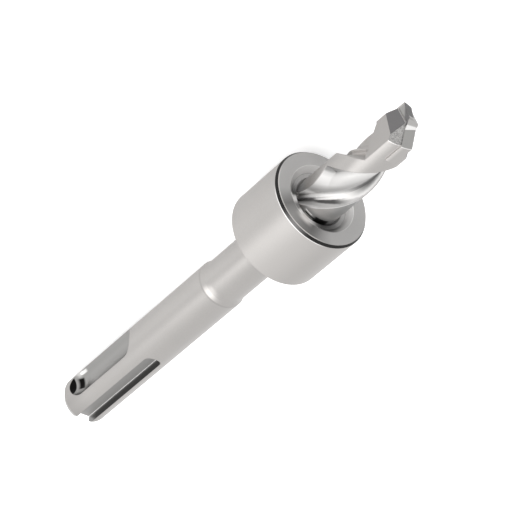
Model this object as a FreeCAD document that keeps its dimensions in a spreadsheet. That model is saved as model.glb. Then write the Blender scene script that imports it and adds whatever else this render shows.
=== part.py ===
import FreeCAD, Part
import Sketcher
import math
import os

# Stop drill bit for masonry: a two-flute steel drill with a flat-sided head and a grooved shank,
# a sleeve pressed on as depth stop, and a hard metal cutting plate brazed into the head.
# Every piece is built along its own +Z, which is the drill's axis and points to the tip.
# Lengths are measured from the collar's front face, and angles turn about +Z from +X.
SIZES = {
    "shank_diameter": 10.0,
    "shank_reach": 84.2,
    "shank_chamfer_length": 1.3,
    "shank_chamfer_width": 0.75,
    "body_diameter": 9.24,
    "step_reach": 33.2,
    "step_radius": 5.0,
    "ball_radius": 3.75,
    "ball_offset": 6.45,
    "ball_rear_reach": 77.6,
    "ball_front_reach": 61.8,
    "ball_angle": 37.5,
    "slot_width": 3.4,
    "slot_floor": 2.75,
    "slot_front_reach": 57.8,
    "slot_angle": 126.75,
    "collar_diameter": 20.0,
    "collar_length": 15.0,
    "collar_rear_chamfer": 0.35,
    "collar_chamfer_length": 0.53,
    "collar_chamfer_width": 0.35,
    "bore_chamfer": 0.4,
    "dish_diameter": 13.8,
    "dish_depth": 1.1,
    "dish_floor_diameter": 11.6,
    "flute_lead": 34.0,
    "flute_hidden_length": 3.5,
    "flute_top": 23.0,
    "land_left_angle": -54.5,
    "floor_left_angle": -47.0,
    "floor_left_radius": 2.78,
    "floor_crown_angle": -2.0,
    "floor_crown_radius": 3.1,
    "crease_angle": 38.0,
    "crease_radius": 2.72,
    "rib_left_angle": 50.5,
    "rib_left_radius": 3.28,
    "rib_right_angle": 53.5,
    "rib_right_radius": 3.25,
    "groove_left_angle": 60.0,
    "groove_left_radius": 2.78,
    "groove_angle": 65.0,
    "groove_radius": 2.74,
    "groove_right_angle": 70.0,
    "groove_right_radius": 3.02,
    "land_right_angle": 80.5,
    "head_start": 18.7,
    "head_start_slope": 0.4,
    "head_angle": 31.0,
    "head_flat": 2.63,
    "head_flat_start": 19.2,
    "head_runout_radius": 4.0,
    "heel_facet_height": 28.1,
    "heel_facet_angle": 62.7,
    "heel_facet_slope": 38.6,
    "lead_facet_height": 28.94,
    "lead_facet_angle": 19.4,
    "lead_facet_slope": 61.6,
    "plate_diameter": 10.0,
    "plate_thickness": 1.9,
    "plate_angle": 35.6,
    "plate_seat": 21.2,
    "flank_height": 27.5,
    "flank_angle": 80.2,
    "flank_slope": 21.0,
    "point_reach": 28.15,
    "point_angle": 103.4,
    "point_slope": 27.9,
    "point_base_height": 26.2,
    "point_base_half_width": 2.1,
    # The wide floor of a flute runs out towards the collar: the angle at which its cut leaves
    # the drill's surface, where the flute starts and at four heights ahead of the collar's face
    "runout_start_angle": 12.0,
    "runout_first_height": -0.7,
    "runout_first_angle": 38.0,
    "runout_second_height": 2.8,
    "runout_second_angle": 47.7,
    "runout_third_height": 5.9,
    "runout_third_angle": 42.5,
    "runout_last_height": 8.4,
    "runout_last_angle": 26.0,
    # How far a cutting outline reaches past the surface that it cuts
    "overcut": 3.0,
}
CLEAR = "sizes.overcut"
OUTSIDE = f"(sizes.shank_diameter / 2 + {CLEAR})"
NOTHING = "0"

V = FreeCAD.Vector
doc = FreeCAD.newDocument("stop_drill_bit")
sheet = doc.addObject("Spreadsheet::Sheet", "sizes")
for row, (name, number) in enumerate(SIZES.items(), start=1):
    sheet.set(f"A{row}", name)
    sheet.set(f"B{row}", str(number))
    sheet.setAlias(f"B{row}", name)
doc.recompute()


def value(expression):
    """Number that an expression on the sheet's sizes gives."""
    return float(sheet.evalExpression(expression))


def point(corner):
    return V(value(corner[0]), value(corner[1]), 0)


def polar(radius, angle):
    """Sketch corner at a radius and an angle, both expressions."""
    return (f"({radius}) * cos({angle})", f"({radius}) * sin({angle})")


def origin_feature(body, role):
    return next(feature for feature in body.Origin.OriginFeatures if feature.Role == role)


def cross_sketch(body, name, height):
    """Sketch across the drill's axis at a height along it."""
    sketch = body.newObject("Sketcher::SketchObject", name)
    sketch.AttachmentSupport = [(origin_feature(body, "XY_Plane"), "")]
    sketch.MapMode = "FlatFace"
    sketch.AttachmentOffset = FreeCAD.Placement(V(0, 0, value(height)), FreeCAD.Rotation())
    sketch.setExpression("AttachmentOffset.Base.z", height)
    return sketch


def upright_sketch(body, name, angle=NOTHING):
    """Sketch through the drill's axis: its x points out at the angle, its y runs along the axis."""
    sketch = body.newObject("Sketcher::SketchObject", name)
    sketch.AttachmentSupport = [(origin_feature(body, "XZ_Plane"), "")]
    sketch.MapMode = "FlatFace"
    turn = FreeCAD.Rotation(V(0, 1, 0), value(angle))
    sketch.AttachmentOffset = FreeCAD.Placement(V(0, 0, 0), turn)
    if angle != NOTHING:
        sketch.setExpression("AttachmentOffset.Rotation.Angle", angle)
    return sketch


def pin(sketch, edge, end, corner):
    """Hold one end of an edge at a corner given by expressions."""
    for kind, expression in zip(("DistanceX", "DistanceY"), corner):
        rule = Sketcher.Constraint(kind, -1, 1, edge, end, value(expression))
        index = sketch.addConstraint(rule)
        if expression != NOTHING:
            sketch.setExpression(f"Constraints[{index}]", expression)


def outline(sketch, corners):
    """Closed outline. A corner's third entry makes the edge that ends there an arc through it."""
    edges = []
    for index, corner in enumerate(corners):
        start = point(corners[index - 1])
        stop = point(corner)
        if len(corner) == 2:
            edge = sketch.addGeometry(Part.LineSegment(start, stop), False)
            edges.append((edge, 1, 2))
            continue
        middle = point(corner[2])
        edge = sketch.addGeometry(Part.Arc(start, middle, stop), False)
        anticlockwise = (middle - start).cross(stop - middle).z > 0
        edges.append((edge, 1, 2) if anticlockwise else (edge, 2, 1))
        mark = sketch.addGeometry(Part.Point(middle), True)
        pin(sketch, mark, 1, corner[2])
        sketch.addConstraint(Sketcher.Constraint("PointOnObject", mark, 1, edge))
    for index, (edge, first, last) in enumerate(edges):
        pin(sketch, edge, last, corners[index][:2])
        other, other_first, other_last = edges[(index + 1) % len(edges)]
        sketch.addConstraint(Sketcher.Constraint("Coincident", edge, last, other, other_first))


def revolve(body, kind, sketch, axis=None):
    """Full turn of a sketch, about the drill's axis unless another is given."""
    turned = body.newObject(f"PartDesign::{kind}", sketch.Name + "_turned")
    turned.Profile = sketch
    turned.ReferenceAxis = axis or (origin_feature(body, "Z_Axis"), [""])
    turned.Angle = 360
    return turned


def cut_through(body, sketch):
    """Cut a sketch's outline to both sides, right through the drill."""
    cut = body.newObject("PartDesign::Pocket", sketch.Name + "_cut")
    cut.Profile = sketch
    cut.SideType = "Symmetric"
    cut.setExpression("Length", f"sizes.shank_diameter + 2 * {CLEAR}")
    return cut


def opposite(body, *features):
    """Repeat features half a turn round the drill's axis."""
    doc.recompute()
    twin = body.newObject("PartDesign::PolarPattern", features[0].Name + "_pair")
    twin.Originals = list(features)
    twin.Axis = (origin_feature(body, "Z_Axis"), [""])
    twin.Angle = 360
    twin.Occurrences = 2
    body.Tip = twin
    return twin


def facet(body, name, height, angle, slope, reach=OUTSIDE):
    """Cut away what stands above a plane that falls off towards the angle, as far as the reach."""
    sketch = upright_sketch(body, name, angle)
    top = f"(sizes.point_reach + {CLEAR})"
    outline(sketch, [
        (reach, f"{height} - {reach} * tan({slope})"),
        (reach, top),
        (f"({height} - {top}) / tan({slope})", top),
    ])
    return cut_through(body, sketch)


def ring_cut(body, name, radius, low, high):
    """Turn a body down to a radius between two heights."""
    sketch = upright_sketch(body, name)
    outer = f"{radius} + 4 * {CLEAR}"
    outline(sketch, [(radius, low), (outer, low), (outer, high), (radius, high)])
    return revolve(body, "Groove", sketch)


def blank(body):
    """Turned steel: rear chamfer, shank, concave step and the thinner fluted stretch."""
    shank = "sizes.shank_diameter / 2"
    neck = "sizes.body_diameter / 2"
    step = f"({shank} - {neck})"
    run = f"sqrt(2 * sizes.step_radius * {step} - {step} * {step})"
    half_rise = f"sizes.step_radius - sqrt(sizes.step_radius ^ 2 - {run} ^ 2 / 4)"
    top = f"sizes.point_reach + {CLEAR}"
    sketch = upright_sketch(body, "blank")
    outline(sketch, [
        (NOTHING, "-sizes.shank_reach"),
        (f"{shank} - sizes.shank_chamfer_width", "-sizes.shank_reach"),
        (shank, "-sizes.shank_reach + sizes.shank_chamfer_length"),
        (shank, "-sizes.step_reach"),
        (neck, f"-sizes.step_reach + {run}", (f"{neck} + {half_rise}", f"-sizes.step_reach + {run} / 2")),
        (neck, top),
        (NOTHING, top),
    ])
    revolve(body, "Revolution", sketch)


def flute_angle(name, height):
    """Angle of a point of the flute's section, which turns once in each lead."""
    return f"(sizes.{name} + 360 * ({height}) / sizes.flute_lead)"


def flutes(body):
    """Two helical flutes, each with a wide crowned floor, a rib and a narrow groove beside it."""
    start = "-sizes.flute_hidden_length"
    outside = f"sizes.body_diameter / 2 + {CLEAR}"

    def at(place):
        return polar(f"sizes.{place}_radius", flute_angle(f"{place}_angle", start))

    def beyond(name):
        return polar(outside, flute_angle(name, start))

    surface = "sizes.body_diameter / 2"
    sketch = cross_sketch(body, "flute", start)
    outline(sketch, [
        polar(surface, flute_angle("land_left_angle", start)),
        at("floor_left"),
        (*at("crease"), at("floor_crown")),
        at("rib_left"),
        at("rib_right"),
        at("groove_left"),
        (*at("groove_right"), at("groove")),
        polar(surface, flute_angle("land_right_angle", start)),
        beyond("land_right_angle"),
        (*beyond("land_left_angle"), beyond("floor_crown_angle")),
    ])
    helix = body.newObject("PartDesign::SubtractiveHelix", "flute_helix")
    helix.Profile = sketch
    helix.ReferenceAxis = (origin_feature(body, "Z_Axis"), [""])
    helix.Mode = "pitch-height-angle"
    helix.setExpression("Pitch", "sizes.flute_lead")
    helix.setExpression("Height", "sizes.flute_hidden_length + sizes.flute_top")
    opposite(body, helix)


def floor_runouts(body):
    """Steel left standing where each wide floor runs out in front of the collar."""
    sections = []
    surface = "sizes.body_diameter / 2"
    spread = 1.7
    behind = 12
    for station in ("start", "first", "second", "third", "last"):
        angle = f"sizes.runout_{station}_angle"
        height = "-sizes.flute_hidden_length" if station == "start" else f"sizes.runout_{station}_height"
        crease = polar("sizes.crease_radius", flute_angle("crease_angle", height))
        edge = polar(surface, angle)
        land = f"({flute_angle('land_left_angle', height)} - {behind})"
        far = tuple(f"{inner} + ({outer} - {inner}) * {spread}" for inner, outer in zip(crease, edge))
        outside = f"{surface} + {CLEAR}"
        middle = polar(outside, f"({land} + {angle}) / 2")
        sketch = cross_sketch(body, f"runout_{station}", height)
        outline(sketch, [(NOTHING, NOTHING), polar(outside, land), middle, far, crease])
        sections.append(sketch)
    loft = body.newObject("PartDesign::AdditiveLoft", "floor_runout")
    loft.Profile = sections[0]
    loft.Sections = sections[1:]
    opposite(body, loft)


def head(body):
    """Flat-sided head: it fills the flutes past a slanted end, between two flats on the lands."""
    wide = f"(sizes.body_diameter / 2 + {CLEAR})"
    top = f"sizes.point_reach + {CLEAR}"
    sketch = upright_sketch(body, "head_half", "sizes.head_angle + 90")
    outline(sketch, [
        (f"-{wide}", f"sizes.head_start + {wide} * sizes.head_start_slope"),
        (wide, f"sizes.head_start - {wide} * sizes.head_start_slope"),
        (wide, top),
        (f"-{wide}", top),
    ])
    half = body.newObject("PartDesign::Pad", "head_pad")
    half.Profile = sketch
    half.setExpression("Length", "sizes.head_flat")
    opposite(body, half)
    ring_cut(body, "body_ring", "sizes.body_diameter / 2", "-sizes.flute_hidden_length", top)

    end_angle = 75
    radius = "sizes.head_runout_radius"

    def runout(turned):
        return (f"sizes.head_flat + {radius} * (1 - cos({turned}))",
                f"sizes.head_flat_start - {radius} * sin({turned})")

    outer = f"sizes.head_flat + {radius} + {CLEAR}"
    sketch = upright_sketch(body, "head_flat", "sizes.head_angle")
    outline(sketch, [
        (outer, runout(end_angle)[1]),
        (outer, top),
        ("sizes.head_flat", top),
        ("sizes.head_flat", "sizes.head_flat_start"),
        (*runout(end_angle), runout(end_angle / 2)),
    ])
    flat = cut_through(body, sketch)
    opposite(body, flat)
    heel = facet(body, "heel_facet", "sizes.heel_facet_height", "sizes.heel_facet_angle",
                 "sizes.heel_facet_slope")
    opposite(body, heel)
    lead = facet(body, "lead_facet", "sizes.lead_facet_height", "sizes.lead_facet_angle",
                 "sizes.lead_facet_slope")
    opposite(body, lead)


def plate_slot(body):
    """Slot across the head that the cutting plate is brazed into."""
    half = "sizes.plate_thickness / 2"
    top = f"sizes.point_reach + 2 * {CLEAR}"
    sketch = upright_sketch(body, "plate_slot", "sizes.plate_angle")
    outline(sketch, [(f"-{half}", "sizes.plate_seat"), (half, "sizes.plate_seat"), (half, top), (f"-{half}", top)])
    cut_through(body, sketch)


def shank_grooves(body):
    """Two closed ball grooves, and two drive slots that are open at the rear end."""
    sketch = upright_sketch(body, "ball_groove", "sizes.ball_angle")
    line = "sizes.ball_offset"
    deep = "sizes.ball_offset - sizes.ball_radius"
    diagonal = "sizes.ball_offset - sizes.ball_radius * cos(45)"
    rear = "-sizes.ball_rear_reach"
    front = "-sizes.ball_front_reach"
    outline(sketch, [
        (line, f"{rear} - sizes.ball_radius"),
        (deep, rear, (diagonal, f"{rear} - sizes.ball_radius * sin(45)")),
        (deep, front),
        (line, f"{front} + sizes.ball_radius", (diagonal, f"{front} + sizes.ball_radius * sin(45)")),
    ])
    ends = [V(value(line), value(rear), 0), V(value(line), value(front), 0)]
    axis = sketch.addGeometry(Part.LineSegment(*ends), True)
    pin(sketch, axis, 1, (line, rear))
    pin(sketch, axis, 2, (line, front))
    groove = revolve(body, "Groove", sketch, (sketch, ["Axis0"]))
    opposite(body, groove)

    sketch = upright_sketch(body, "drive_slot", "sizes.slot_angle - 90")
    sketch.setExpression("AttachmentOffset.Base.x", "-sizes.slot_floor * sin(sizes.slot_angle - 90)")
    sketch.setExpression("AttachmentOffset.Base.z", "-sizes.slot_floor * cos(sizes.slot_angle - 90)")
    half = "sizes.slot_width / 2"
    rear = f"-sizes.shank_reach - {CLEAR}"
    front = "-sizes.slot_front_reach"
    outline(sketch, [
        (f"-{half}", rear),
        (half, rear),
        (half, front),
        (f"-{half}", front, (NOTHING, f"{front} + {half}")),
    ])
    slot = body.newObject("PartDesign::Pocket", "drive_slot_cut")
    slot.Profile = sketch
    slot.setExpression("Length", "sizes.shank_diameter / 2")
    opposite(body, slot)


def drill_body():
    body = doc.addObject("PartDesign::Body", "drill_body")
    blank(body)
    flutes(body)
    floor_runouts(body)
    head(body)
    plate_slot(body)
    shank_grooves(body)
    return body


def stop_collar():
    """Turned sleeve, pressed on behind the flutes: its dished front face stops at the wall."""
    body = doc.addObject("PartDesign::Body", "stop_collar")
    bore = "sizes.body_diameter / 2"
    outer = "sizes.collar_diameter / 2"
    edge = "sizes.collar_rear_chamfer"
    rear = "-sizes.collar_length"
    mouth = f"{bore} + sizes.bore_chamfer"
    dish = "sizes.dish_diameter / 2"
    sketch = upright_sketch(body, "collar")
    outline(sketch, [
        (bore, "-sizes.dish_depth - sizes.bore_chamfer"),
        (bore, f"{rear} + sizes.bore_chamfer"),
        (mouth, rear),
        (f"{outer} - {edge}", rear),
        (outer, f"{rear} + {edge}"),
        (outer, "-sizes.collar_chamfer_length"),
        (f"{outer} - sizes.collar_chamfer_width", NOTHING),
        (dish, NOTHING),
        ("sizes.dish_floor_diameter / 2", "-sizes.dish_depth"),
        (mouth, "-sizes.dish_depth"),
    ])
    revolve(body, "Revolution", sketch)
    return body


def carbide_tip():
    """Cutting plate: two cutting edges with relieved flanks, and a centring point between them."""
    body = doc.addObject("PartDesign::Body", "carbide_tip")
    wide = f"(sizes.plate_diameter / 2 + {CLEAR})"
    top = f"sizes.point_reach + {CLEAR}"
    sketch = upright_sketch(body, "plate", "sizes.plate_angle + 90")
    outline(sketch, [(f"-{wide}", "sizes.plate_seat"), (wide, "sizes.plate_seat"), (wide, top), (f"-{wide}", top)])
    pad = body.newObject("PartDesign::Pad", "plate_pad")
    pad.Profile = sketch
    pad.SideType = "Symmetric"
    pad.setExpression("Length", "sizes.plate_thickness")
    ring_cut(body, "plate_ring", "sizes.plate_diameter / 2", "sizes.plate_seat", top)
    flank = facet(body, "flank", "sizes.flank_height", "sizes.flank_angle", "sizes.flank_slope")
    opposite(body, flank)

    sketch = upright_sketch(body, "point", "sizes.plate_angle + 90")
    base = "sizes.point_base_height"
    half = "sizes.point_base_half_width"
    outline(sketch, [
        (f"-{half}", base),
        (half, base),
        (NOTHING, f"sizes.point_reach + (sizes.point_reach - {base}) * tan(sizes.point_slope)"),
    ])
    point_pad = body.newObject("PartDesign::Pad", "point_pad")
    point_pad.Profile = sketch
    point_pad.SideType = "Symmetric"
    point_pad.setExpression("Length", "sizes.plate_thickness")
    side = facet(body, "point_side", "sizes.point_reach", "sizes.point_angle", "sizes.point_slope",
                 reach=half)
    opposite(body, side)
    return body


def rest_rotation():
    """The bit lies on the two edges of a drive slot at its rear end and on the collar's rear rim."""
    slot_chord = "sqrt(sizes.shank_diameter ^ 2 - sizes.slot_width ^ 2) / 2"
    rim = "(sizes.collar_length - sizes.collar_rear_chamfer)"
    rise = value(f"sizes.collar_diameter / 2 - {slot_chord}")
    run = value(f"sizes.shank_reach - sizes.shank_chamfer_length - {rim}")
    tilt = math.atan2(rise, run)
    roll = FreeCAD.Rotation(V(0, 0, 1), 90 - value("sizes.slot_angle"))
    along = V(math.cos(tilt), 0, math.sin(tilt))
    up = V(-math.sin(tilt), 0, math.cos(tilt))
    return FreeCAD.Rotation(V(0, 1, 0), up, along, "ZXY").multiply(roll)


def place(bodies):
    """Lay the pieces down, and set the origin below the middle of the whole bit."""
    for body in bodies:
        body.Placement = FreeCAD.Placement(V(0, 0, 0), rest_rotation())
    doc.recompute()
    box = FreeCAD.BoundBox()
    for body in bodies:
        box.add(body.Shape.optimalBoundingBox(False))
    shift = V(-box.Center.x, -box.Center.y, -box.ZMin)
    for body in bodies:
        body.Placement = FreeCAD.Placement(shift, rest_rotation())
    doc.recompute()


def check(bodies):
    for item in doc.Objects:
        if "Invalid" in item.State or "Error" in item.State:
            raise RuntimeError(f"{item.Name} failed: {item.State}")
    for body in bodies:
        if body.Shape.isNull() or not body.Shape.isValid():
            raise RuntimeError(f"{body.Label} has no valid shape")


pieces = [drill_body(), stop_collar(), carbide_tip()]
doc.recompute()
place(pieces)
check(pieces)
os.makedirs("parts", exist_ok=True)
for piece in pieces:
    piece.Shape.exportStep(f"parts/{piece.Label}.step")
    print(piece.Label, len(piece.Shape.Solids), round(piece.Shape.Volume, 2), piece.Placement.Base)
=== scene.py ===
import math

import bpy
from mathutils import Euler, Matrix, Vector

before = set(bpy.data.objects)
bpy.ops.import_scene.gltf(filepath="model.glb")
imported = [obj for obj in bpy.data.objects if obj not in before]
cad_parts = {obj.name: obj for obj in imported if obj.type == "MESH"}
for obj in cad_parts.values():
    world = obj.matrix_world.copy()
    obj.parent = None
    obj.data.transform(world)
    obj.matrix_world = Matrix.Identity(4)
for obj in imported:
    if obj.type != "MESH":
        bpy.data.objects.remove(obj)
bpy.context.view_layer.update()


def shade(colour, factor):
    """A colour made darker or lighter."""
    return [factor * part for part in colour]


MM = 0.001

# The camera, fitted to the outlines of the shank, the collar and the flutes
CAMERA_PLACE = Vector((0.36883776, 0.24639296, 0.37052607))
CAMERA_TURN = Euler([math.radians(angle) for angle in (-50.603619, -0.588900, -56.173847)])
CAMERA_LENS = 211.1538
SENSOR = 36.0

# The soft light: its angle about the drill and its rise along it in degrees, its distance and
# size in metres
LIGHT_ANGLE = 85
LIGHT_RISE = -18
LIGHT_DISTANCE = 0.3
LIGHT_SIZE = 0.24
LIGHT_RADIANCE = 1.35

# The floor: its width in metres, its colour, and the white that it adds where it is seen directly
# and where a shiny surface mirrors it
FLOOR_SIZE = 6
FLOOR_COLOUR = (0.9, 0.9, 0.9)
FLOOR_SEEN = 0.5
FLOOR_MIRRORED = 0.1
WHITE = (1, 1, 1)

# The drill's own frame: its z axis runs forward from the collar's front face
DRILL_ORIGIN = Vector((0.0280759374, 0.0, 0.0111037961))
DRILL_TILT = math.radians(4.4386560)
DRILL_ROLL = math.radians(-36.75)

# Features of the drill, in mm and degrees
FLUTE_LEAD = 34.0
FLUTE_SPACING = 180
LOWER_FLUTE_REACH = 4.0
BALL_REAR = 77.6
BALL_ANGLE = 37.5
SLOT_ANGLE = 126.75
PLATE_ANGLE = 125.6

# Facets that fall off to two sides: their height on the axis, the angle they fall towards, their slope
HEEL_FACET = (28.1, 62.7, 38.6)
LEAD_FACET = (28.94, 19.4, 61.6)
FLANK_FACET = (27.5, 80.2, 21.0)
POINT_FACET = (28.15, 103.4, 27.9)
FACET_SKIN = 0.04

# Steel surfaces, as linear colours, and the painted shade, painted reflections and painted highlights laid
# over them
SATIN = (0.485, 0.468, 0.454)
HEAD_SATIN = (0.37, 0.353, 0.34)
GROOVE_FLOOR = (0.34, 0.335, 0.328)
# Painted shade: dark walls, lines and chamfers that stand in for shadow and dark reflections; BLACK is
# painted deep shadow
DARK_WALL = (0.075, 0.074, 0.073)
BLACK = shade(DARK_WALL, 0.1)
HARD_METAL = (0.34, 0.335, 0.325)
# Painted dark reflection on the lead facets and on the plate's dark faces
DARK_FACET = (0.135, 0.13, 0.132)
SHADED_LAND = (0.29, 0.288, 0.285)
# Painted highlights: glints, bright edge lines and lit patches
BRIGHT_EDGE = (0.92, 0.91, 0.90)
BLASTED = (0.46, 0.45, 0.44)
BLASTED_DARK = (0.27, 0.265, 0.26)
MIRROR_TINT = (1.0, 0.985, 0.97)

# Noise: how fine it is in each material, and how the grain shows in satin steel
GRAIN_SCALE = 4.0
GRAIN_LEVELS = (0.35, 0.65)
GRAIN_SHARE = 0.12
BODY_CLOUD_SCALE = 0.15
BODY_CLOUD_SHADES = (0.97, 1.03)
COLLAR_CLOUD_SCALE = 0.12
COLLAR_CLOUD_SHADES = (0.98, 1.04)
TURNING_SCALE = 9.0
TURNING_DETAIL = 1.0
SPECKLE_SCALE = 5.0
SPECKLE_DETAIL = 4.0
SPECKLE_LEVELS = (0.40, 0.60)
PLATE_GRAIN_SCALE = 6.0
PLATE_CLOUD_SCALE = 0.6
PLATE_CLOUD_SHADES = (0.95, 1.05)

# Finishes: roughness, as one number or as two that a noise goes between, strength of the bumps,
# and how far an edge looks rounded off
DRILL_ROUGHNESS = (0.34, 0.40)
FLUTE_ROUGHNESS = 0.45
CUT_ROUGHNESS = 0.3
DRILL_BUMPS = 0.15
DRILL_EDGE = 0.12 * MM
HEAD_EDGE = 0.5 * MM
COLLAR_ROUGHNESS = (0.38, 0.44)
TURNED_ROUGHNESS = (0.26, 0.34)
COLLAR_BUMPS = 0.12
COLLAR_EDGE = 0.08 * MM
PLATE_ROUGHNESS = (0.26, 0.34)
PLATE_METAL = 0.7
PLATE_BUMPS = 0.1
PLATE_EDGE = 0.06 * MM
BUMP_DEPTH = 0.02 * MM
BEVEL_SAMPLES = 6

# Painted reflections and shade across a flute: the angle from the flute's own zero, and the brightness
FLUTE_RANGE = (-60, 120)
FLUTE_REAR = (
    (-60, 0.30), (-54, 0.20), (-46, 0.62), (-30, 0.80), (0, 0.70), (10, 0.52), (22, 0.37), (34, 0.30),
    (42, 0.60), (46, 1.00), (55, 1.00), (57.5, 0.50), (60, 0.20), (69, 0.16), (72, 0.36), (77, 0.40),
    (80, 0.60),
)
FLUTE_MIDDLE = (
    (-60, 0.30), (-54, 0.20), (-46, 0.62), (-30, 0.78), (0, 0.66), (9, 0.52), (20, 0.38), (31, 0.39),
    (37, 0.64), (41, 1.00), (67.2, 1.00), (68.6, 0.60), (70, 0.56), (71.5, 0.62), (73, 0.45), (76, 0.45),
    (80, 0.70),
)
FLUTE_FRONT = (
    (-60, 0.30), (-54, 0.16), (-49, 0.34), (-42, 0.72), (-25, 0.80), (-8, 0.66), (8, 0.56), (20, 0.46),
    (33, 0.50), (39, 0.48), (42, 0.28), (45, 0.12), (50, 0.09), (71, 0.12), (74, 0.17), (76, 0.38),
    (77.5, 0.70), (78.7, 0.82), (80, 0.48),
)
# Degrees that the middle's shades turn against the flute for each mm of height
FLUTE_DRIFT = 1.3

# Painted reflections and shade round the collar's front, down to black painted shadow in the bore's mouth:
# the angle about the drill's axis, and the brightness
FULL_TURN = (0, 360)
DISH_FLOOR = (
    (0, 0.68), (14, 0.56), (25, 0.27), (34, 0.13), (40, 0.06), (44, 0.08), (48, 0.86), (57, 0.74),
    (65, 0.22), (74, 0.24), (82, 1.00), (102, 0.90), (112, 0.62), (122, 0.22), (135, 0.05), (156, 0.05),
    (168, 0.14), (180, 0.34), (192, 0.48), (205, 0.66), (225, 0.84), (250, 0.76), (300, 0.74), (360, 0.68),
)
DISH_WALL = (
    (0, 0.66), (25, 0.50), (38, 0.25), (48, 0.20), (51, 0.80), (60, 0.50), (68, 0.28), (78, 0.60),
    (90, 1.00), (103, 0.85), (114, 0.25), (126, 0.20), (148, 0.11), (156, 0.24), (170, 0.52), (205, 0.76),
    (225, 0.95), (250, 0.85), (330, 0.74), (360, 0.66),
)
RING = (
    (0, 0.46), (44, 0.42), (54, 0.33), (66, 0.22), (82, 0.33), (90, 0.30), (98, 0.22), (112, 0.165),
    (129, 0.30), (142, 0.38), (160, 0.39), (200, 0.40), (250, 0.47), (330, 0.50), (360, 0.46),
)
BORE = (
    (0, 0.40), (40, 0.14), (84, 0.40), (100, 0.20), (106, 0.004), (155, 0.004), (165, 0.10), (200, 0.35),
    (360, 0.40),
)

# A place is given by the limits of some measures, in mm and degrees. Two limits are a step, from
# where the place fades out to where it is full. Three are a band: its two ends and their softness.

# Places on the drill's lands and in the collar's mouth, with their colours: painted shade on the land
# turned away from the light and around the mouth, painted highlights at the mouth and along an edge line,
# painted light deeper in beside the gap, a painted shade line, and black painted shadow in the gap
IN_FRONT = {"height": (-3.9, -3.8)}
LAND = {"radius": (4.5, 4.56)}
LOWER_SIDE = {"angle": (78, 260, 8)}
TURNED_AWAY = {"height": (1.2, 7.5, 1.4), "angle": (130, 260, 18)}
MOUTH_SHADE = {"height": (0.9, -0.2)}
MOUTH_GLINT = {"height": (-0.66, -0.38, 0.06), "angle": (84, 104, 3)}
BESIDE_GAP = {"angle": (87, 114, 2)}
LIT_DEPTH = {"height": (-0.9, -1.1)}
DARK_LINE = {"height": (-1.12, -0.8, 0.05)}
GAP = {"height": (0.0, -0.36), "angle": (112, 148, 5)}
UPPER_MOUTH = {"height": (2.0, 0.2), "angle": (10, 60, 8)}
EDGE_LINE = {"section": (80.5, 84, 0.7), "height": (0.5, 8.0, 0.8)}
LAND_PAINT = (
    (SHADED_LAND, TURNED_AWAY),
    (SHADED_LAND, IN_FRONT, MOUTH_SHADE, LOWER_SIDE),
    (BRIGHT_EDGE, MOUTH_GLINT),
    (shade(SATIN, 1.3), IN_FRONT, BESIDE_GAP, LIT_DEPTH),
    (DARK_WALL, IN_FRONT, BESIDE_GAP, DARK_LINE),
    (BLACK, IN_FRONT, GAP),
    (SHADED_LAND, IN_FRONT, LAND, UPPER_MOUTH),
    (shade(BRIGHT_EDGE, 0.8), LAND, EDGE_LINE),
)

# Places in the flutes and on the head's flats: a narrow groove in painted shade, painted light where the
# flutes run into the collar's mouth, and on the head's flats a rib painted lighter and an edge painted
# darker, painted light and shade over the far flute's run-out
FLUTES = {"height": (-4.0, -3.5), "flute_height": (11.4, 10.6), "radius": (4.56, 4.5)}
LOWER_FLUTE = {"angle": (75, 260, 8)}
MIDDLE_OF_FLUTES = {"height": (0.3, 1.8)}
FRONT_OF_FLUTES = {"height": (6.0, 11.0)}
NARROW_GROOVE = {"drifted": (65.5, 72, 1.3), "height": (7.2, 4.2)}
RUN_IN = {"height": (2.2, 0.6), "section": (18, 57, 2)}
HEAD_FLATS = {"flute_height": (10.6, 11.4), "radius": (4.56, 4.5)}
RUN_OUT_START = {"height": (12.8, 13.6)}
RUN_OUT_END = {"height": (18.1, 17.5)}
FAR_RIB = {"section": (51, 72, 2)}
FAR_EDGE = {"section": (73, 79, 2)}
HEAD_PAINT = (
    (shade(HEAD_SATIN, 1.5), RUN_OUT_START, RUN_OUT_END, FAR_RIB),
    (shade(HEAD_SATIN, 0.88), RUN_OUT_START, RUN_OUT_END, FAR_EDGE),
)

# Places beside the plate at the head's end: the lead facet beside the plate in blasted steel, a painted
# highlight along the heel's edge, and a lighter painted strip on the land beside the plate's slot, painted
# light that evens out the shadow line there
BY_PLATE = {"plate_across": (1.16, 1.10)}
BY_PLATE_SLOT = {"height": (20.9, 21.4)}
HEEL_EDGE_HIGHLIGHT = {"below_heel": (0.06, 0.17, 0.02)}

# Places on the shank: a painted shade line at the foot of the step, a painted highlight on the step, a
# darker grey in the cut grooves and slots, a darker rear chamfer, and painted shade towards the rear end
STEP_FOOT = {"height": (-33.6, -33.15, 0.1)}
STEP_SHINE = {"height": (-33.2, -32.3, 0.12), "angle": (70, 114, 12)}
CUT = {"height": (-55.5, -56.0), "radius": (4.96, 4.93)}
SHANK_PAINT = (
    (shade(SATIN, 0.86), STEP_FOOT),
    (shade(SATIN, 1.15), STEP_SHINE),
    (GROOVE_FLOOR, CUT),
)
REAR_CHAMFER = {"height": (-82.85, -82.95), "radius": (4.2, 4.3)}
REAR_SHADE = {"height": (-76.0, -83.0), "radius": (4.9, 4.95)}
REAR_PAINT = (
    (shade(SATIN, 0.8), REAR_CHAMFER),
    (shade(SATIN, 0.84), REAR_SHADE),
)

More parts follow.
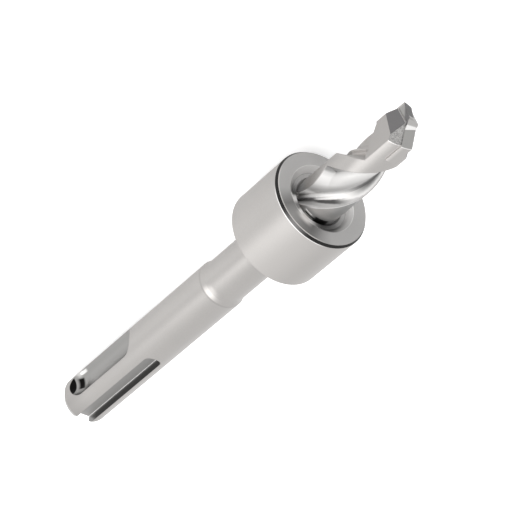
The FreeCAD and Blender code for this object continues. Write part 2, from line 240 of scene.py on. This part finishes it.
# Places in the ball grooves: black crescents of painted dark reflection in the rounded rear end, a painted
# glint on its edge, and painted shade on the lower wall
BALL_GROOVE = {"ball_out": (2.4, 2.6)}
BALL_END_WALL = {"ball_along": (-3.9, -2.62, 0.06)}
BALL_END_FLOOR = {"ball_along": (-2.15, -0.9, 0.3), "ball_across": (0.8, 0.4)}
BALL_END_FLOOR_SIDE = {"ball_across": (-1.85, -1.45)}
BALL_END_SIDE = {"ball_across": (-2.25, -2.0)}
BALL_GLINT = {"ball_along": (-1.1, 0.7, 0.4), "ball_across": (-2.95, -2.2, 0.12), "radius": (4.78, 4.62)}
BALL_LOWER_WALL = {"ball_across": (1.6, 2.0), "ball_along": (-1.2, 0.2)}

# Places in the drive slots: walls in painted shade that lightens towards the open end, and a painted
# highlight in each corner beside the floor
SLOT = {"slot_across": (1.76, 1.74)}
SLOT_WALL = {"slot_across": (0.7, 1.66), "slot_out": (2.78, 2.82)}
SLOT_CORNER = {"slot_across": (1.52, 1.58), "slot_out": (2.82, 2.78)}
SLOT_FLOOR = {"slot_out": (3.3, 3.2)}
SLOT_OPEN_END = {"height": (-81.0, -83.2)}

# How metallic the drill is: 1 in the open, and less where it would mirror dark surroundings
LOWER_MIDDLE = {"height": (9.0, 5.0)}
DRILL_METAL = (
    (0.35, IN_FRONT, LOWER_MIDDLE, LOWER_SIDE),
    (0.35, IN_FRONT, LAND, UPPER_MOUTH),
    (0.3, HEAD_FLATS),
    (0.15, FLUTES),
    (0.0, CUT, SLOT, SLOT_FLOOR),
)

# Places on the collar: a painted lit strip on its side, painted reflections and shade on the face and dish,
# a painted light spill on the face, painted shadow in the bore's mouth, a front chamfer painted dark as a
# dark reflection, and painted highlights on the rim and at the chamfer's foot, chamfer and rim lighter on
# the lit side
LIT_STRIP = {"angle": (100, 128, 14)}
FACE = {"height": (-1.6, -1.5), "radius": (9.66, 9.64)}
DISH = {"radius": (7.05, 6.95)}
OUTER_DISH = {"radius": (6.0, 6.6)}
DISH_BOTTOM = {"height": (-0.98, -1.06)}
DISH_LINE_GAP = {"angle": (50, 125, 4)}
DISH_LINE_SHARE = 0.35
LIGHT_SPILL = {"radius": (8.2, 7.0), "angle": (84, 106, 8)}
BORE_MOUTH = {"height": (-1.6, -1.5), "radius": (5.06, 5.0)}
FRONT_CHAMFER = {"height": (-0.56, -0.54), "radius": (9.64, 9.66)}
RIM_HIGHLIGHT = {"radius": (9.40, 9.48), "angle": (20, 125, 12)}
LIT_SIDE = {"angle": (80, 102, 12)}
CHAMFER_FOOT = {"height": (-0.75, -0.56, 0.02), "angle": (48, 130, 8)}
COLLAR_METAL = (
    (0.4, FACE),
    (0.0, FACE, DISH),
)

# Places on the plate: painted shade on the rake face near the point, a painted highlight on the rim's lit
# side, a far flank painted dark as a dark reflection, the near point wall painted lighter as its lit side,
# a painted glint at the point's foot, and a painted highlight along the outer corner
PLATE_RIM = {"radius": (4.93, 4.97)}
PLATE_SIDE = {"plate_across": (0.92, 0.94)}
NEAR_POINT = {"height": (26.4, 26.9)}
LIT_RIM = {"angle": (90, 118, 6)}
FAR_HALF = {"plate_along": (-0.1, -0.2)}
POINT_WALL = {"plate_along": (0.0, 2.3, 0.02)}
POINT_FOOT = {"plate_along": (0.95, 2.3, 0.15), "below_flank": (-0.02, -0.05)}
CORNER_HIGHLIGHT = {"below_flank": (0.0, 0.14, 0.02)}


def drill_matrix():
    """The drill's own axes as columns: x at its angle 0, y at 90 degrees, z along it."""
    along = Vector((math.cos(DRILL_TILT), 0, math.sin(DRILL_TILT)))
    side = Vector((0, 1, 0))
    up = Vector((-math.sin(DRILL_TILT), 0, math.cos(DRILL_TILT)))
    x_axis = side * math.cos(DRILL_ROLL) + up * math.sin(DRILL_ROLL)
    y_axis = up * math.cos(DRILL_ROLL) - side * math.sin(DRILL_ROLL)
    return Matrix((x_axis, y_axis, along)).transposed()


def given_colour(given):
    """A colour as a socket takes it."""
    return given if isinstance(given, bpy.types.NodeSocket) else (*given, 1)


class Nodes:
    """Adds shader nodes to one material and links them."""

    def __init__(self, name):
        self.material = bpy.data.materials.new(name)
        self.material.use_nodes = True
        self.tree = self.material.node_tree
        self.shader = self.tree.nodes["Principled BSDF"]

    def add(self, kind, settings=None, inputs=None):
        """A new node. Each input is another node's output or a plain value."""
        node = self.tree.nodes.new(kind)
        for key, setting in (settings or {}).items():
            setattr(node, key, setting)
        for key, given in (inputs or {}).items():
            self.feed(node.inputs[key], given)
        return node

    def feed(self, socket, given):
        """Links a socket, or sets it where a plain value is given."""
        if isinstance(given, bpy.types.NodeSocket):
            self.tree.links.new(given, socket)
        else:
            socket.default_value = given

    def math(self, operation, first, second=0.0):
        return self.add("ShaderNodeMath", {"operation": operation}, {0: first, 1: second}).outputs[0]

    def step(self, given, low, high):
        """0 below low and 1 above high, or the other way round if low is the larger."""
        settings = {"interpolation_type": "SMOOTHSTEP"}
        if low < high:
            inputs = {"Value": given, "From Min": low, "From Max": high}
        else:
            inputs = {"Value": given, "From Min": high, "From Max": low, "To Min": 1.0, "To Max": 0.0}
        return self.add("ShaderNodeMapRange", settings, inputs).outputs["Result"]

    def band(self, given, low, high, soft):
        """1 between two levels, with soft ends."""
        above = self.step(given, low - soft, low + soft)
        below = self.step(given, high + soft, high - soft)
        return self.math("MULTIPLY", above, below)

    def mix(self, share, first, second):
        """Blends two colours."""
        node = self.add("ShaderNodeMix", {"data_type": "RGBA"})
        self.feed(node.inputs["Factor"], share)
        colours = [socket for socket in node.inputs if socket.type == "RGBA"]
        self.feed(colours[0], given_colour(first))
        self.feed(colours[1], given_colour(second))
        return [socket for socket in node.outputs if socket.type == "RGBA"][0]

    def blend(self, share, first, second):
        """Blends two numbers."""
        node = self.add("ShaderNodeMix", {"data_type": "FLOAT"})
        numbers = [socket for socket in node.inputs if socket.type == "VALUE"]
        for socket, given in zip(numbers, (share, first, second)):
            self.feed(socket, given)
        return [socket for socket in node.outputs if socket.type == "VALUE"][0]

    def ramp(self, measure, stops, low, high):
        """Grey that follows the stops, each a number from low to high and a brightness."""
        inputs = {"Value": self.measures[measure], "From Min": low, "From Max": high}
        share = self.add("ShaderNodeMapRange", inputs=inputs).outputs["Result"]
        node = self.add("ShaderNodeValToRGB", inputs={"Fac": share})
        marks = node.color_ramp.elements
        while len(marks) < len(stops):
            marks.new(0.5)
        for mark, (number, brightness) in zip(marks, stops):
            mark.position = (number - low) / (high - low)
            mark.color = given_colour(shade(MIRROR_TINT, brightness))
        return node.outputs["Color"]

    def noise(self, vector, scale, detail=2.0):
        inputs = {"Vector": vector, "Scale": scale, "Detail": detail}
        return self.add("ShaderNodeTexNoise", inputs=inputs).outputs["Fac"]

    def find_place(self):
        """Works out a point's place in the drill's own frame, in mm and degrees."""
        inputs = {
            "Vector": self.add("ShaderNodeTexCoord").outputs["Object"],
            "Location": DRILL_ORIGIN,
            "Rotation": drill_matrix().to_euler(),
            "Scale": (MM, MM, MM),
        }
        self.local = self.add("ShaderNodeMapping", {"vector_type": "TEXTURE"}, inputs).outputs[0]
        x, y, height = self.add("ShaderNodeSeparateXYZ", inputs={0: self.local}).outputs
        squares = self.math("ADD", self.math("POWER", x, 2), self.math("POWER", y, 2))
        turned = self.math("DEGREES", self.math("ARCTAN2", y, x))
        self.measures = {
            "height": height,
            "radius": self.math("SQRT", squares),
            "angle": self.math("FLOORED_MODULO", turned, 360),
        }

    def outward(self, angle):
        """A point's distance towards an angle from the drill's axis."""
        turned = math.radians(angle)
        facing = (math.cos(turned), math.sin(turned), 0)
        node = self.add("ShaderNodeVectorMath", {"operation": "DOT_PRODUCT"}, {0: self.local, 1: facing})
        return node.outputs["Value"]

    def below_facet(self, top, angle, slope):
        """A point's depth below the two facets that fall off towards the angle and its opposite."""
        out = self.math("ABSOLUTE", self.outward(angle))
        drop = self.math("MULTIPLY", out, math.tan(math.radians(slope)))
        return self.math("SUBTRACT", top, self.math("ADD", self.measures["height"], drop))

    def on_facet(self, top, angle, slope):
        """1 on the two facets themselves."""
        node = self.add("ShaderNodeMath", {"operation": "COMPARE"})
        for socket, given in zip(node.inputs, (self.below_facet(top, angle, slope), 0.0, FACET_SKIN)):
            self.feed(socket, given)
        return node.outputs[0]

    def within(self, *places):
        """1 where all the places overlap. A mask may stand for a place."""
        masks = []
        for place in places:
            if isinstance(place, dict):
                masks.extend(self.limit(measure, *limits) for measure, limits in place.items())
            else:
                masks.append(place)
        overlap = masks[0]
        for mask in masks[1:]:
            overlap = self.math("MULTIPLY", overlap, mask)
        return overlap

    def limit(self, measure, *limits):
        """A step for two limits, and a band for three."""
        form = self.step if len(limits) == 2 else self.band
        return form(self.measures[measure], *limits)

    def paint(self, colour, *rows):
        """Lays colours over a first one. A row is a colour and the places whose overlap it covers."""
        for new, *places in rows:
            colour = self.mix(self.within(*places), colour, new)
        return colour

    def level(self, number, *rows):
        """Lays numbers over a first one in the same way."""
        for new, *places in rows:
            number = self.blend(self.within(*places), number, new)
        return number

    def finish(self, colour, metal, roughness, bumps, strength, edge):
        """Feeds the shader, with fine bumps and edges that look rounded off."""
        self.feed(self.shader.inputs["Base Color"], colour)
        self.feed(self.shader.inputs["Metallic"], metal)
        self.feed(self.shader.inputs["Roughness"], roughness)
        rounded = self.add("ShaderNodeBevel", {"samples": BEVEL_SAMPLES}, {"Radius": edge}).outputs[0]
        inputs = {"Strength": strength, "Distance": BUMP_DEPTH, "Height": bumps, "Normal": rounded}
        bump = self.add("ShaderNodeBump", inputs=inputs).outputs[0]
        self.feed(self.shader.inputs["Normal"], bump)
        return self.material


def clouded(nodes, cloud, colour, shades):
    """A colour with slow clouds from one shade to another."""
    low, high = shades
    return nodes.mix(cloud, shade(colour, low), shade(colour, high))


def satin(nodes, cloud, shades, grain):
    """Satin steel with slow clouds and a fine grain."""
    colour = clouded(nodes, cloud, SATIN, shades)
    return nodes.mix(nodes.step(grain, *GRAIN_LEVELS), nodes.mix(GRAIN_SHARE, colour, GROOVE_FLOOR), colour)


def measure_flutes(nodes):
    """Adds the angle across a flute, the same less its drift, and the height that ends the flutes."""
    height = nodes.measures["height"]
    start = FLUTE_RANGE[0]
    helix = nodes.math("MULTIPLY", height, 360 / FLUTE_LEAD)
    turned = nodes.math("SUBTRACT", nodes.measures["angle"], helix)
    across = nodes.math("FLOORED_MODULO", nodes.math("SUBTRACT", turned, start), FLUTE_SPACING)
    section = nodes.math("ADD", across, start)
    drift = nodes.math("MULTIPLY", height, FLUTE_DRIFT)
    reach = nodes.math("MULTIPLY", nodes.within(LOWER_FLUTE), LOWER_FLUTE_REACH)
    nodes.measures["section"] = section
    nodes.measures["drifted"] = nodes.math("SUBTRACT", section, drift)
    nodes.measures["flute_height"] = nodes.math("SUBTRACT", height, reach)


def measure_shank(nodes):
    """Adds the distances in a ball groove and in a drive slot."""
    facing = nodes.outward(BALL_ANGLE)
    sideways = nodes.outward(BALL_ANGLE + 90)
    nodes.measures["ball_along"] = nodes.math("ADD", nodes.measures["height"], BALL_REAR)
    nodes.measures["ball_across"] = nodes.math("MULTIPLY", sideways, nodes.math("SIGN", facing))
    nodes.measures["ball_out"] = nodes.math("ABSOLUTE", facing)
    nodes.measures["slot_across"] = nodes.math("ABSOLUTE", nodes.outward(SLOT_ANGLE + 90))
    nodes.measures["slot_out"] = nodes.math("ABSOLUTE", nodes.outward(SLOT_ANGLE))


def measure_plate(nodes):
    """Adds the distances along the cutting plate and across it."""
    nodes.measures["plate_along"] = nodes.outward(PLATE_ANGLE)
    nodes.measures["plate_across"] = nodes.math("ABSOLUTE", nodes.outward(PLATE_ANGLE - 90))


def flute_colour(nodes):
    """Ground flute, with painted reflections on the bright floor and rib and painted shade in dark creases
    that turn with the helix.
    """
    rear = nodes.ramp("section", FLUTE_REAR, *FLUTE_RANGE)
    middle = nodes.ramp("drifted", FLUTE_MIDDLE, *FLUTE_RANGE)
    front = nodes.ramp("section", FLUTE_FRONT, *FLUTE_RANGE)
    middle = nodes.paint(middle, (shade(DARK_WALL, 0.9), NARROW_GROOVE))
    return nodes.paint(rear, (middle, MIDDLE_OF_FLUTES), (front, FRONT_OF_FLUTES), (BRIGHT_EDGE, RUN_IN))


def paint_tip(nodes, colour):
    """Blasted heel, lead facet painted dark as a dark reflection, a painted highlight where the heel meets
    the land, and a lighter painted strip on the land beside the plate.
    """
    speckle = nodes.noise(nodes.local, SPECKLE_SCALE, SPECKLE_DETAIL)
    blasted = nodes.mix(nodes.step(speckle, *SPECKLE_LEVELS), BLASTED_DARK, BLASTED)
    lead = nodes.paint(DARK_FACET, (BLASTED, BY_PLATE))
    nodes.measures["below_heel"] = nodes.below_facet(*HEEL_FACET)
    return nodes.paint(
        colour,
        (blasted, nodes.on_facet(*HEEL_FACET)),
        (lead, nodes.on_facet(*LEAD_FACET)),
        (BRIGHT_EDGE, HEEL_EDGE_HIGHLIGHT, LAND),
        (shade(SATIN, 1.3), BY_PLATE, LAND, BY_PLATE_SLOT),
    )


def paint_ball_grooves(nodes, colour):
    """Black crescents of painted dark reflection and a painted glint at the rear end, and painted shade on
    the lower wall.
    """
    end_floor = nodes.within(BALL_END_FLOOR, BALL_END_FLOOR_SIDE)
    crescents = nodes.math("MAXIMUM", nodes.within(BALL_END_WALL), end_floor)
    return nodes.paint(
        colour,
        (BLACK, CUT, BALL_GROOVE, BALL_END_SIDE, crescents),
        (BRIGHT_EDGE, CUT, BALL_GROOVE, BALL_GLINT),
        (shade(GROOVE_FLOOR, 0.3), CUT, BALL_GROOVE, BALL_LOWER_WALL),
    )


def paint_slots(nodes, colour):
    """Walls in painted shade that lightens towards the open end, and painted highlights in the corners
    beside the floor.
    """
    wall = nodes.paint(shade(DARK_WALL, 1.35), (shade(DARK_WALL, 3.2), SLOT_OPEN_END))
    return nodes.paint(colour, (wall, CUT, SLOT, SLOT_WALL), (BRIGHT_EDGE, CUT, SLOT, SLOT_CORNER))


def drill_steel():
    nodes = Nodes("drill_steel")
    nodes.find_place()
    measure_flutes(nodes)
    measure_shank(nodes)
    measure_plate(nodes)
    grain = nodes.noise(nodes.local, GRAIN_SCALE)
    cloud = nodes.noise(nodes.local, BODY_CLOUD_SCALE)
    colour = satin(nodes, cloud, BODY_CLOUD_SHADES, grain)
    colour = nodes.paint(colour, *LAND_PAINT)
    head = nodes.paint(HEAD_SATIN, *HEAD_PAINT)
    colour = nodes.paint(colour, (head, HEAD_FLATS), (flute_colour(nodes), FLUTES))
    colour = paint_tip(nodes, colour)
    colour = nodes.paint(colour, *SHANK_PAINT)
    colour = paint_ball_grooves(nodes, colour)
    colour = nodes.paint(colour, *REAR_PAINT)
    colour = paint_slots(nodes, colour)
    metal = nodes.level(1.0, *DRILL_METAL)
    roughness = nodes.blend(grain, *DRILL_ROUGHNESS)
    roughness = nodes.level(roughness, (FLUTE_ROUGHNESS, FLUTES), (CUT_ROUGHNESS, CUT))
    edge = nodes.level(DRILL_EDGE, (HEAD_EDGE, HEAD_FLATS))
    return nodes.finish(colour, metal, roughness, grain, DRILL_BUMPS, edge)


def dish_colour(nodes):
    """Turned dish, with painted reflections and shade on its floor and its wall, and a faint painted shade
    line where the floor begins.
    """
    floor = nodes.ramp("angle", DISH_FLOOR, *FULL_TURN)
    wall = nodes.ramp("angle", DISH_WALL, *FULL_TURN)
    gap = nodes.math("MULTIPLY", nodes.within(DISH_LINE_GAP), DISH_LINE_SHARE)
    line = nodes.math("SUBTRACT", DISH_LINE_SHARE, gap)
    return nodes.paint(floor, (wall, OUTER_DISH), (DARK_WALL, DISH_BOTTOM, line))


def collar_steel():
    nodes = Nodes("collar_steel")
    nodes.find_place()
    grain = nodes.noise(nodes.local, GRAIN_SCALE)
    cloud = nodes.noise(nodes.local, COLLAR_CLOUD_SCALE)
    rings = nodes.add("ShaderNodeCombineXYZ", inputs={0: nodes.measures["radius"]}).outputs[0]
    turning = nodes.noise(rings, TURNING_SCALE, TURNING_DETAIL)
    ring = nodes.ramp("angle", RING, *FULL_TURN)
    bore = nodes.ramp("angle", BORE, *FULL_TURN)
    face = nodes.paint(ring, (dish_colour(nodes), DISH))
    # The front chamfer is painted dark as a dark reflection, and the rim gets a painted highlight, both
    # lighter on the lit side
    chamfer = nodes.paint(shade(DARK_WALL, 0.45), (shade(DARK_WALL, 3.3), LIT_SIDE))
    rim_highlight = nodes.paint(shade(SATIN, 1.35), (shade(SATIN, 1.6), LIT_SIDE))
    # Over satin: painted light, painted reflections, painted shadow and painted highlights, place by place
    colour = nodes.paint(
        satin(nodes, cloud, COLLAR_CLOUD_SHADES, grain),
        (shade(SATIN, 1.13), LIT_STRIP),
        (face, FACE),
        (shade(SATIN, 1.5), FACE, LIGHT_SPILL),
        (bore, BORE_MOUTH),
        (chamfer, FRONT_CHAMFER),
        (rim_highlight, FACE, RIM_HIGHLIGHT),
        (BRIGHT_EDGE, CHAMFER_FOOT),
    )
    metal = nodes.level(1.0, *COLLAR_METAL)
    turned = nodes.blend(turning, *TURNED_ROUGHNESS)
    roughness = nodes.level(nodes.blend(grain, *COLLAR_ROUGHNESS), (turned, FACE))
    return nodes.finish(colour, metal, roughness, grain, COLLAR_BUMPS, COLLAR_EDGE)


def hard_metal():
    nodes = Nodes("hard_metal")
    nodes.find_place()
    measure_plate(nodes)
    nodes.measures["below_flank"] = nodes.below_facet(*FLANK_FACET)
    grain = nodes.noise(nodes.local, PLATE_GRAIN_SCALE)
    cloud = nodes.noise(nodes.local, PLATE_CLOUD_SCALE)
    # The rim is satin like the land, with a painted highlight on its lit side
    rim = nodes.paint(SATIN, (shade(SATIN, 1.5), LIT_RIM))
    # The far flank is painted dark as a dark reflection, with cloudy variation
    dark_flank = nodes.mix(cloud, shade(DARK_WALL, 0.6), shade(DARK_FACET, 0.8))
    colour = nodes.paint(
        clouded(nodes, cloud, HARD_METAL, PLATE_CLOUD_SHADES),
        (DARK_FACET, PLATE_SIDE, NEAR_POINT),
        (SATIN, PLATE_SIDE, LAND),
        (rim, PLATE_RIM),
        (dark_flank, nodes.on_facet(*FLANK_FACET), FAR_HALF),
        # Only the near point wall is painted lighter, in the blasted steel's grey, as painted light on its
        # lit side
        (BLASTED, nodes.on_facet(*POINT_FACET), POINT_WALL),
        (BRIGHT_EDGE, POINT_FOOT),
        (BRIGHT_EDGE, PLATE_RIM, CORNER_HIGHLIGHT),
    )
    metal = nodes.level(PLATE_METAL, (1.0, PLATE_RIM))
    roughness = nodes.blend(grain, *PLATE_ROUGHNESS)
    return nodes.finish(colour, metal, roughness, grain, PLATE_BUMPS, PLATE_EDGE)


def add_camera():
    data = bpy.data.cameras.new("camera")
    data.lens = CAMERA_LENS
    data.sensor_width = SENSOR
    camera = bpy.data.objects.new("camera", data)
    camera.location = CAMERA_PLACE
    camera.rotation_euler = CAMERA_TURN
    bpy.context.scene.collection.objects.link(camera)
    bpy.context.scene.camera = camera


def add_floor():
    """A plain matt floor that looks white by itself and keeps the drill's shadow."""
    bpy.ops.mesh.primitive_plane_add(size=FLOOR_SIZE)
    floor = bpy.context.object
    floor.name = "floor"
    nodes = Nodes("floor")
    nodes.feed(nodes.shader.inputs["Base Color"], given_colour(FLOOR_COLOUR))
    nodes.feed(nodes.shader.inputs["Roughness"], 1.0)
    nodes.feed(nodes.shader.inputs["Specular IOR Level"], 0.0)
    nodes.feed(nodes.shader.inputs["Emission Color"], given_colour(WHITE))
    ray = nodes.add("ShaderNodeLightPath").outputs
    seen = nodes.math("MULTIPLY", ray["Is Camera Ray"], FLOOR_SEEN)
    mirrored = nodes.math("MULTIPLY", ray["Is Glossy Ray"], FLOOR_MIRRORED)
    nodes.feed(nodes.shader.inputs["Emission Strength"], nodes.math("ADD", seen, mirrored))
    floor.data.materials.append(nodes.material)


def add_light():
    """A square soft light that faces the drill."""
    turned = math.radians(LIGHT_ANGLE)
    raised = math.radians(LIGHT_RISE)
    out = math.cos(raised)
    local = Vector((out * math.cos(turned), out * math.sin(turned), math.sin(raised)))
    direction = drill_matrix() @ local
    data = bpy.data.lights.new("top", "AREA")
    data.size = LIGHT_SIZE
    data.energy = LIGHT_RADIANCE * math.pi * LIGHT_SIZE ** 2
    light = bpy.data.objects.new("top", data)
    light.location = DRILL_ORIGIN + direction * LIGHT_DISTANCE
    light.rotation_euler = (-direction).to_track_quat("-Z", "Y").to_euler()
    bpy.context.scene.collection.objects.link(light)


def add_surroundings():
    world = bpy.data.worlds.new("studio")
    world.use_nodes = True
    background = world.node_tree.nodes["Background"]
    background.inputs["Color"].default_value = given_colour(WHITE)
    background.inputs["Strength"].default_value = 1.0
    bpy.context.scene.world = world
    bpy.context.scene.view_settings.view_transform = "Standard"


MATERIALS = {
    "drill_body": drill_steel,
    "stop_collar": collar_steel,
    "carbide_tip": hard_metal,
}
for node_name, make in MATERIALS.items():
    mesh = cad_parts[node_name].data
    mesh.materials.clear()
    mesh.materials.append(make())
add_camera()
add_floor()
add_surroundings()
add_light()
